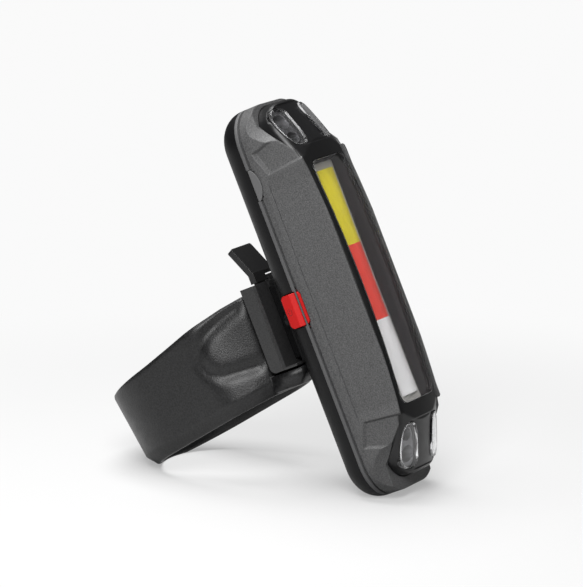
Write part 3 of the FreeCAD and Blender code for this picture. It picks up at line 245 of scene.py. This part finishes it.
port_steel = metal("port_steel", (0.6, 0.6, 0.61), 0.28)
reflector_metal = metal("reflector_metal", (0.16, 0.16, 0.165), 0.34)
clear_lens = clear("clear_lens", (0.97, 0.97, 0.98), 0.09)

WEARS = {
    "rear_shell": shell_plastic,
    "front_housing": housing_plastic,
    "seam_trim": seal_painted_highlight,
    "bezel": bezel_plastic,
    "window_lens": clear_lens,
    "end_lens_top_left": clear_lens,
    "end_lens_top_right": clear_lens,
    "end_lens_bottom_left": clear_lens,
    "end_lens_bottom_right": clear_lens,
    "end_reflectors_top": reflector_metal,
    "end_reflectors_bottom": reflector_metal,
    "end_leds_top": led_chip,
    "end_leds_bottom": led_chip,
    "window_tray": tray_plastic,
    "cob_board": strip_paint,
    "cob_yellow": phosphor_yellow,
    "cob_red": phosphor_red,
    "cob_white": phosphor_white,
    "main_board": board_paint,
    "battery_cell": cell_wrap,
    "battery_tabs": port_steel,
    "tactile_switch": tray_plastic,
    "power_button": button_rubber,
    "usb_port": port_steel,
    "port_cover": flap_rubber,
    "case_screws": screw_steel,
    "shoe_screws": black_steel,
    "plate_screws": screw_steel,
    "lever_pin": screw_steel,
    "slide_shoe": shoe_black_and_painted_shade,
    "bracket_block": block_plastic,
    "release_lever": lever_plastic,
    "strap_plate": block_plastic,
    "strap": strap_rubber,
}
for node_name, recipe in WEARS.items():
    thing = nodes[node_name]
    thing.data.materials.clear()
    thing.data.materials.append(recipe.material)


# Added pieces: lengths are in millimetres in the lamp's frame


def eased(value):
    """Smooth step from 0 to 1."""
    value = max(0.0, min(1.0, value))
    return value * value * (3.0 - 2.0 * value)


def spread(start, end, steps):
    """Evenly spaced values from start to end, with both ends."""
    return [start + (end - start) * k / steps for k in range(steps + 1)]


def bridge(mesh, one, two, closed=True):
    """Faces between two rows of points, which are rings where they are closed."""
    for k in range(len(one) if closed else len(one) - 1):
        n = (k + 1) % len(one)
        mesh.faces.new((one[k], one[n], two[n], two[k]))


def cap_ends(mesh, rows):
    """Faces that close the first and the last row."""
    mesh.faces.new(rows[0])
    mesh.faces.new(list(reversed(rows[-1])))


def piece(name, mesh, recipe, body):
    """Turn a bmesh into a smooth object that rides on a body."""
    bmesh.ops.recalc_face_normals(mesh, faces=mesh.faces)
    data = bpy.data.meshes.new(name)
    mesh.to_mesh(data)
    mesh.free()
    made = bpy.data.objects.new(name, data)
    bpy.context.collection.objects.link(made)
    for polygon in data.polygons:
        polygon.use_smooth = True
    data.materials.append(recipe.material)
    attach(made, body)
    return made


# Strap: one moulded band that runs round from the bracket, with a raised pad on each side
DROOP = math.radians(9.6)
# The loop droops from this line at the bracket: s is the way along it from there, t the way up its wall
HINGE_Y, HINGE_Z = 16.9, -3.2
# The wall stands upright at the line and leans with the droop from this far behind it
LEAN_RUN = 8.0
# Heights of the upper and the lower edge at the line, and the upper edge's fall by the distance behind it
TOP_FRONT, BOTTOM_FRONT = 8.2, -17.9
TOP_FALLS = [
    (0.0, 0.0), (7.4, -1.3), (14.0, -3.1), (22.0, -5.5), (30.0, -7.8), (49.5, -12.9), (60.0, -15.8),
]
BOTTOM_SLOPE = 7.4 / 48.0
# Centre line: corners of its left front half as x, s and radius, and the rear bend that follows them
LOOP_HALF_WIDTH = 16.5
BEND_START = 32.4
FRONT_CORNERS = [
    (0.0, 1.5, 0.0), (-9.2, 1.5, 1.7), (-LOOP_HALF_WIDTH, 13.2, 8.5), (-LOOP_HALF_WIDTH, BEND_START, 0.0),
]
FRONT_STEP = 0.75
CORNER_STEPS = 12
BEND_STEPS = 36
LOOP_MIDDLE = Vector((0.0, 22.0))
# Wall: its flat faces, and its rounded edges as depth in from the outer face and height from the edge
HALF_THICK = 1.5
OUTER_TOP, OUTER_BOTTOM, OUTER_ROWS = -1.0, 3.2, 30
INNER_DEPTH, INNER_TOP, INNER_BOTTOM, INNER_ROWS = 2.95, -0.9, 0.7, 12
LOWER_EDGE = [(0.12, 2.85), (0.6, 2.0), (1.2, 1.1), (1.6, 0.35), (1.95, 0.05), (2.4, 0.02), (2.8, 0.2)]
UPPER_EDGE = [(2.75, -0.35), (2.2, -0.06), (1.5, 0.0), (0.75, -0.08), (0.2, -0.4)]
# The band's outer face lies this far inside the CAD strap's
BAND_INSET = 0.05
# All its points stay at least this many metres above the floor
FLOOR_GAP = 0.0001
# Raised pad: its edge as s and t, the groove round it, and the stretch of the side that carries it
PAD_EDGE = [
    (-0.5, 10.6), (1.8, 9.6), (5.8, 8.6), (10.0, 7.0), (13.0, 4.6), (14.4, 1.8), (13.6, -1.6), (10.8, -4.1),
    (5.5, -5.4), (3.0, -5.9), (-0.5, -6.0),
]
PAD_RISE, PAD_EASE = 0.15, 4.0
GROOVE_DEPTH, GROOVE_WIDTH = 0.75, 1.5
SIDE_START, SIDE_EASE, SIDE_END = 1.6, 1.5, 24.0
# The wall's two edges are found by halving these ranges of heights
TOP_RANGE, BOTTOM_RANGE = (-5.0, 22.0), (-25.0, 2.0)
HALVINGS = 26


def top_line(run):
    """Height of the strap's upper edge, by the distance behind the bracket."""
    for (run_a, fall_a), (run_b, fall_b) in zip(TOP_FALLS, TOP_FALLS[1:]):
        if run <= run_b:
            break
    share = max(0.0, (run - run_a) / (run_b - run_a))
    return TOP_FRONT + fall_a + (fall_b - fall_a) * share


def bottom_line(run):
    """Height of the strap's lower edge."""
    return BOTTOM_FRONT - BOTTOM_SLOPE * max(0.0, run)


def rounded(corners):
    """Points on a line whose corners are rounded by their radii."""
    points = []
    for i, (x, s, radius) in enumerate(corners):
        here = Vector((x, s))
        if radius == 0.0:
            points.append(here)
            continue
        before = (Vector(corners[i - 1][:2]) - here).normalized()
        after = (Vector(corners[i + 1][:2]) - here).normalized()
        half_angle = before.angle(after) / 2
        reach = radius / math.tan(half_angle)
        centre = here + (before + after).normalized() * (radius / math.sin(half_angle))
        start, end = here + before * reach - centre, here + after * reach - centre
        turn = start.angle_signed(end)
        for k in range(CORNER_STEPS + 1):
            spin = -turn * k / CORNER_STEPS
            points.append(centre + Vector((
                start.x * math.cos(spin) - start.y * math.sin(spin),
                start.x * math.sin(spin) + start.y * math.cos(spin),
            )))
    return points


def evenly_spaced(points, step):
    """Points about one step apart on the line through the given points."""
    lengths = [0.0]
    for one, two in zip(points, points[1:]):
        lengths.append(lengths[-1] + (two - one).length)
    even = []
    j = 0
    for want in spread(0.0, lengths[-1], int(lengths[-1] / step)):
        while j < len(lengths) - 2 and lengths[j + 1] < want:
            j += 1
        share = (want - lengths[j]) / max(1e-9, lengths[j + 1] - lengths[j])
        even.append(points[j].lerp(points[j + 1], share))
    return even


def half_path():
    """Centre line of the left half of the loop, from the bracket to the rear."""
    bend = []
    for k in range(1, BEND_STEPS + 1):
        angle = k * math.pi / (2 * BEND_STEPS)
        bend.append(Vector((
            -LOOP_HALF_WIDTH * math.cos(angle), BEND_START + LOOP_HALF_WIDTH * math.sin(angle),
        )))
    return evenly_spaced(rounded(FRONT_CORNERS), FRONT_STEP) + bend


def pad_swell(s, t):
    """How far the side's surface stands out around the pad; the groove counts as negative."""
    nearest = 1e9
    inside = False
    for (s1, t1), (s2, t2) in zip(PAD_EDGE, PAD_EDGE[1:]):
        ds, dt = s2 - s1, t2 - t1
        share = max(0.0, min(1.0, ((s - s1) * ds + (t - t1) * dt) / (ds * ds + dt * dt)))
        nearest = min(nearest, math.hypot(s - s1 - ds * share, t - t1 - dt * share))
        if (t1 > t) != (t2 > t) and s < s1 + (t - t1) / dt * ds:
            inside = True
    swell = -GROOVE_DEPTH * math.exp(-(nearest / GROOVE_WIDTH) ** 2)
    if inside:
        swell += PAD_RISE * eased(nearest / PAD_EASE)
    return swell


def strap_point(x, s, t, inward=(0.0, 0.0), depth=0.0):
    """A point of the strap: along the loop, up its wall, in from its outer face."""
    tilt = DROOP * eased(s / LEAN_RUN)
    x += inward[0] * depth
    s += inward[1] * depth
    y = HINGE_Y + s * math.cos(DROOP) + t * math.sin(tilt)
    z = HINGE_Z - s * math.sin(DROOP) + t * math.cos(tilt)
    return x, y, z


def wall_ends(x, s):
    """Heights up the wall at which the upper and lower edges lie."""
    ends = []
    for line, (low, high) in ((top_line, TOP_RANGE), (bottom_line, BOTTOM_RANGE)):
        for _ in range(HALVINGS):
            middle = (low + high) / 2
            y, z = strap_point(x, s, middle)[1:]
            if z > line(y - HINGE_Y):
                high = middle
            else:
                low = middle
        ends.append((low + high) / 2)
    return ends


def wall_section(t_top, t_bottom):
    """Closed outline of the wall as depth in from the outer face and height."""
    outer_face = [(0.0, t) for t in spread(t_top + OUTER_TOP, t_bottom + OUTER_BOTTOM, OUTER_ROWS)]
    lower_edge = [(depth, t_bottom + rise) for depth, rise in LOWER_EDGE]
    inner_face = [(INNER_DEPTH, t) for t in spread(t_bottom + INNER_BOTTOM, t_top + INNER_TOP, INNER_ROWS)]
    upper_edge = [(depth, t_top + rise) for depth, rise in UPPER_EDGE]
    return outer_face + lower_edge + inner_face + upper_edge


def add_loop(mesh):
    """The band itself: a ring of points at each step of the centre line."""
    left_half = half_path()
    path = [Vector((-p.x, p.y)) for p in reversed(left_half[1:-1])] + left_half
    rings = []
    for i, here in enumerate(path):
        along = (path[(i + 1) % len(path)] - path[i - 1]).normalized()
        inward = Vector((-along.y, along.x))
        if inward.dot(LOOP_MIDDLE - here) < 0.0:
            inward = -inward
        outer = here - inward * HALF_THICK
        on_side = eased((here.y - SIDE_START) / SIDE_EASE) if here.y < SIDE_END else 0.0
        ring = []
        for depth, t in wall_section(*wall_ends(here.x, here.y)):
            swell = pad_swell(outer.y, t) * on_side if depth == 0.0 else 0.0
            spot = lamp_point(*strap_point(outer.x, outer.y, t, inward, depth - swell + BAND_INSET))
            spot.z = max(spot.z, FLOOR_GAP)
            ring.append(mesh.verts.new(spot))
        rings.append(ring)
    for ring, following in zip(rings, rings[1:] + rings[:1]):
        bridge(mesh, ring, following)


# Shelf under the bracket block, joined to the strap's foot: its side view, drawn in a little at both ends
SHELF_SIDE = [(8.5, -13.5), (8.5, -15.4), (10.5, -17.7), (18.2, -17.8), (18.2, -13.4)]
SHELF_MIDDLE = (13.3, -15.6)
SHELF_HALF_WIDTH = 10.5
SHELF_STEPS = 12
SHELF_PINCH = (0.024, 0.09)


def add_shelf(mesh):
    """The shelf as a row of rings across the lamp."""
    rings = []
    for k, x in enumerate(spread(-SHELF_HALF_WIDTH, SHELF_HALF_WIDTH, SHELF_STEPS)):
        pinch_y, pinch_z = SHELF_PINCH if k in (0, SHELF_STEPS) else (0.0, 0.0)
        rings.append([
            mesh.verts.new(lamp_point(
                x, y + (SHELF_MIDDLE[0] - y) * pinch_y, z + (SHELF_MIDDLE[1] - z) * pinch_z,
            ))
            for y, z in SHELF_SIDE
        ])
    for one, two in zip(rings, rings[1:]):
        bridge(mesh, one, two)
    cap_ends(mesh, rings)


strap_mesh = bmesh.new()
add_loop(strap_mesh)
add_shelf(strap_mesh)
strap_band = piece("strap_band", strap_mesh, strap_rubber, "bracket")
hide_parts("strap")

# Power symbol moulded on the button's rear facet: an open ring and a short bar
SYMBOL_Y = 3.2
FACET_X, FACET_Y = -15.05, 1.7
FACET_SLOPE = 0.35 / 2.8
RING_ACROSS, RING_ALONG = 0.62, 0.85
RING_ANGLES = range(38, 323, 12)
BAR = [(0.0, 0.2), (0.0, 0.6), (0.0, 1.0)]
# Across a stroke: place as a share of its half width, and height above the facet
STROKE_HALF_WIDTH = 0.1
STROKE_SECTION = [(1.0, -0.05), (0.5, 0.04), (-0.5, 0.04), (-1.0, -0.05)]


def facet_spot(across, along, lift):
    """A point on the button's rear facet, by its place from the symbol's middle."""
    y = SYMBOL_Y + across
    x = FACET_X + FACET_SLOPE * (y - FACET_Y)
    return lamp_point(x - lift, y, along)


def moulded_stroke(mesh, line):
    """A thin raised stroke along a line on the facet."""
    rows = []
    for i, (across, along) in enumerate(line):
        back, ahead = line[max(0, i - 1)], line[min(len(line) - 1, i + 1)]
        run_across, run_along = ahead[0] - back[0], ahead[1] - back[1]
        half = STROKE_HALF_WIDTH / math.hypot(run_across, run_along)
        side_across, side_along = -run_along * half, run_across * half
        rows.append([
            mesh.verts.new(facet_spot(across + side_across * share, along + side_along * share, lift))
            for share, lift in STROKE_SECTION
        ])
    for one, two in zip(rows, rows[1:]):
        bridge(mesh, one, two, closed=False)
    cap_ends(mesh, rows)


symbol_mesh = bmesh.new()
moulded_stroke(symbol_mesh, [
    (RING_ACROSS * math.sin(math.radians(angle)), RING_ALONG * math.cos(math.radians(angle)))
    for angle in RING_ANGLES
])
moulded_stroke(symbol_mesh, BAR)
piece("power_symbol", symbol_mesh, symbol_rubber, "button")

# Floor and light: floor and backdrop are white to the camera and less so in reflections and clear pieces
FLOOR_SIZE = 14.0
WHITE = 0.955
CLEAR_SHARE = 0.25
FLOOR_GLOSSY_SHARE = 0.13
WORLD_GLOSSY_SHARE = 0.06
FILL_STRENGTH = 0.045
# Paper as lit for the camera, and the darker paper that throws light back at the object
PAPER_SEEN, PAPER_BOUNCE = 0.735, 0.15
# Distances in metres between which the paper turns plain white, and its share of white at the near one
PLAIN_NEAR, PLAIN_FAR, NEAR_WHITE = 0.07, 0.2, 0.4
LIGHT_AIM = Vector((0.0, 0.0, 0.045))


def grey(value):
    """An opaque grey."""
    return (value, value, value, 1.0)


def combine(tree, operation, first, second):
    """Result of a Math node on a socket and another socket or number."""
    node = tree.nodes.new("ShaderNodeMath")
    node.operation = operation
    tree.links.new(first, node.inputs[0])
    if isinstance(second, float):
        node.inputs[1].default_value = second
    else:
        tree.links.new(second, node.inputs[1])
    return node.outputs[0]


def lit_backdrop(tree, fill, white, glossy_share):
    """Share of white that each kind of ray sees, and the shader mix that the share steers."""
    path = tree.nodes.new("ShaderNodeLightPath")
    glossy = combine(tree, "MULTIPLY", path.outputs["Is Glossy Ray"], glossy_share)
    through = combine(tree, "MULTIPLY", path.outputs["Is Transmission Ray"], CLEAR_SHARE)
    direct = combine(tree, "MAXIMUM", path.outputs["Is Camera Ray"], through)
    mix = tree.nodes.new("ShaderNodeMixShader")
    tree.links.new(fill.outputs[0], mix.inputs[1])
    tree.links.new(white.outputs[0], mix.inputs[2])
    return combine(tree, "MAXIMUM", direct, glossy), mix


def paper_material():
    """Pale paper that keeps the object's shadow near it and is plain white far from it."""
    material = bpy.data.materials.new("floor_paper")
    material.use_nodes = True
    tree = material.node_tree
    tree.nodes.clear()
    output = tree.nodes.new("ShaderNodeOutputMaterial")
    paper = tree.nodes.new("ShaderNodeBsdfDiffuse")
    glow = tree.nodes.new("ShaderNodeEmission")
    glow.inputs["Color"].default_value = grey(WHITE)
    seen, mix = lit_backdrop(tree, paper, glow, FLOOR_GLOSSY_SHARE)

    path = tree.nodes.new("ShaderNodeLightPath")
    shade = tree.nodes.new("ShaderNodeMix")
    shade.data_type = "RGBA"
    shade.inputs[MIX_FIRST].default_value = grey(PAPER_SEEN)
    shade.inputs[MIX_SECOND].default_value = grey(PAPER_BOUNCE)
    tree.links.new(path.outputs["Is Diffuse Ray"], shade.inputs[0])
    tree.links.new(shade.outputs[MIX_COLOUR], paper.inputs["Color"])

    place = tree.nodes.new("ShaderNodeTexCoord")
    reach = tree.nodes.new("ShaderNodeVectorMath")
    reach.operation = "LENGTH"
    plainer = tree.nodes.new("ShaderNodeMapRange")
    plainer.interpolation_type = "SMOOTHSTEP"
    plainer.inputs["From Min"].default_value = PLAIN_NEAR
    plainer.inputs["From Max"].default_value = PLAIN_FAR
    plainer.inputs["To Min"].default_value = NEAR_WHITE
    tree.links.new(place.outputs["Object"], reach.inputs[0])
    tree.links.new(reach.outputs["Value"], plainer.inputs["Value"])

    tree.links.new(combine(tree, "MULTIPLY", seen, plainer.outputs["Result"]), mix.inputs[0])
    tree.links.new(mix.outputs[0], output.inputs["Surface"])
    return material


bpy.ops.mesh.primitive_plane_add(size=FLOOR_SIZE, location=(0, 0, 0))
floor = bpy.context.object
floor.name = "floor"
floor.data.materials.append(paper_material())


def studio_world():
    """Backdrop that is white to the camera and a faint fill light to the object."""
    world = bpy.data.worlds.new("studio")
    world.use_nodes = True
    tree = world.node_tree
    tree.nodes.clear()
    output = tree.nodes.new("ShaderNodeOutputWorld")
    fill = tree.nodes.new("ShaderNodeBackground")
    white = tree.nodes.new("ShaderNodeBackground")
    for background, strength in ((fill, FILL_STRENGTH), (white, WHITE)):
        background.inputs["Color"].default_value = grey(1.0)
        background.inputs["Strength"].default_value = strength
    seen, mix = lit_backdrop(tree, fill, white, WORLD_GLOSSY_SHARE)
    tree.links.new(seen, mix.inputs[0])
    tree.links.new(mix.outputs[0], output.inputs["Surface"])
    return world


bpy.context.scene.world = studio_world()


def softbox(name, place, size, power):
    """A large soft lamp that faces the object and isn't seen through the lenses."""
    data = bpy.data.lights.new(name, "AREA")
    data.shape = "SQUARE"
    data.size = size
    data.energy = power
    lamp = bpy.data.objects.new(name, data)
    bpy.context.collection.objects.link(lamp)
    lamp.visible_transmission = False
    lamp.location = place
    lamp.rotation_mode = "QUATERNION"
    lamp.rotation_quaternion = (LIGHT_AIM - Vector(place)).to_track_quat("-Z", "Y")


softbox("key_box", place=(-0.36, -0.14, 0.36), size=0.26, power=2.0)
softbox("top_box", place=(0.02, 0.12, 0.50), size=0.35, power=2.6)
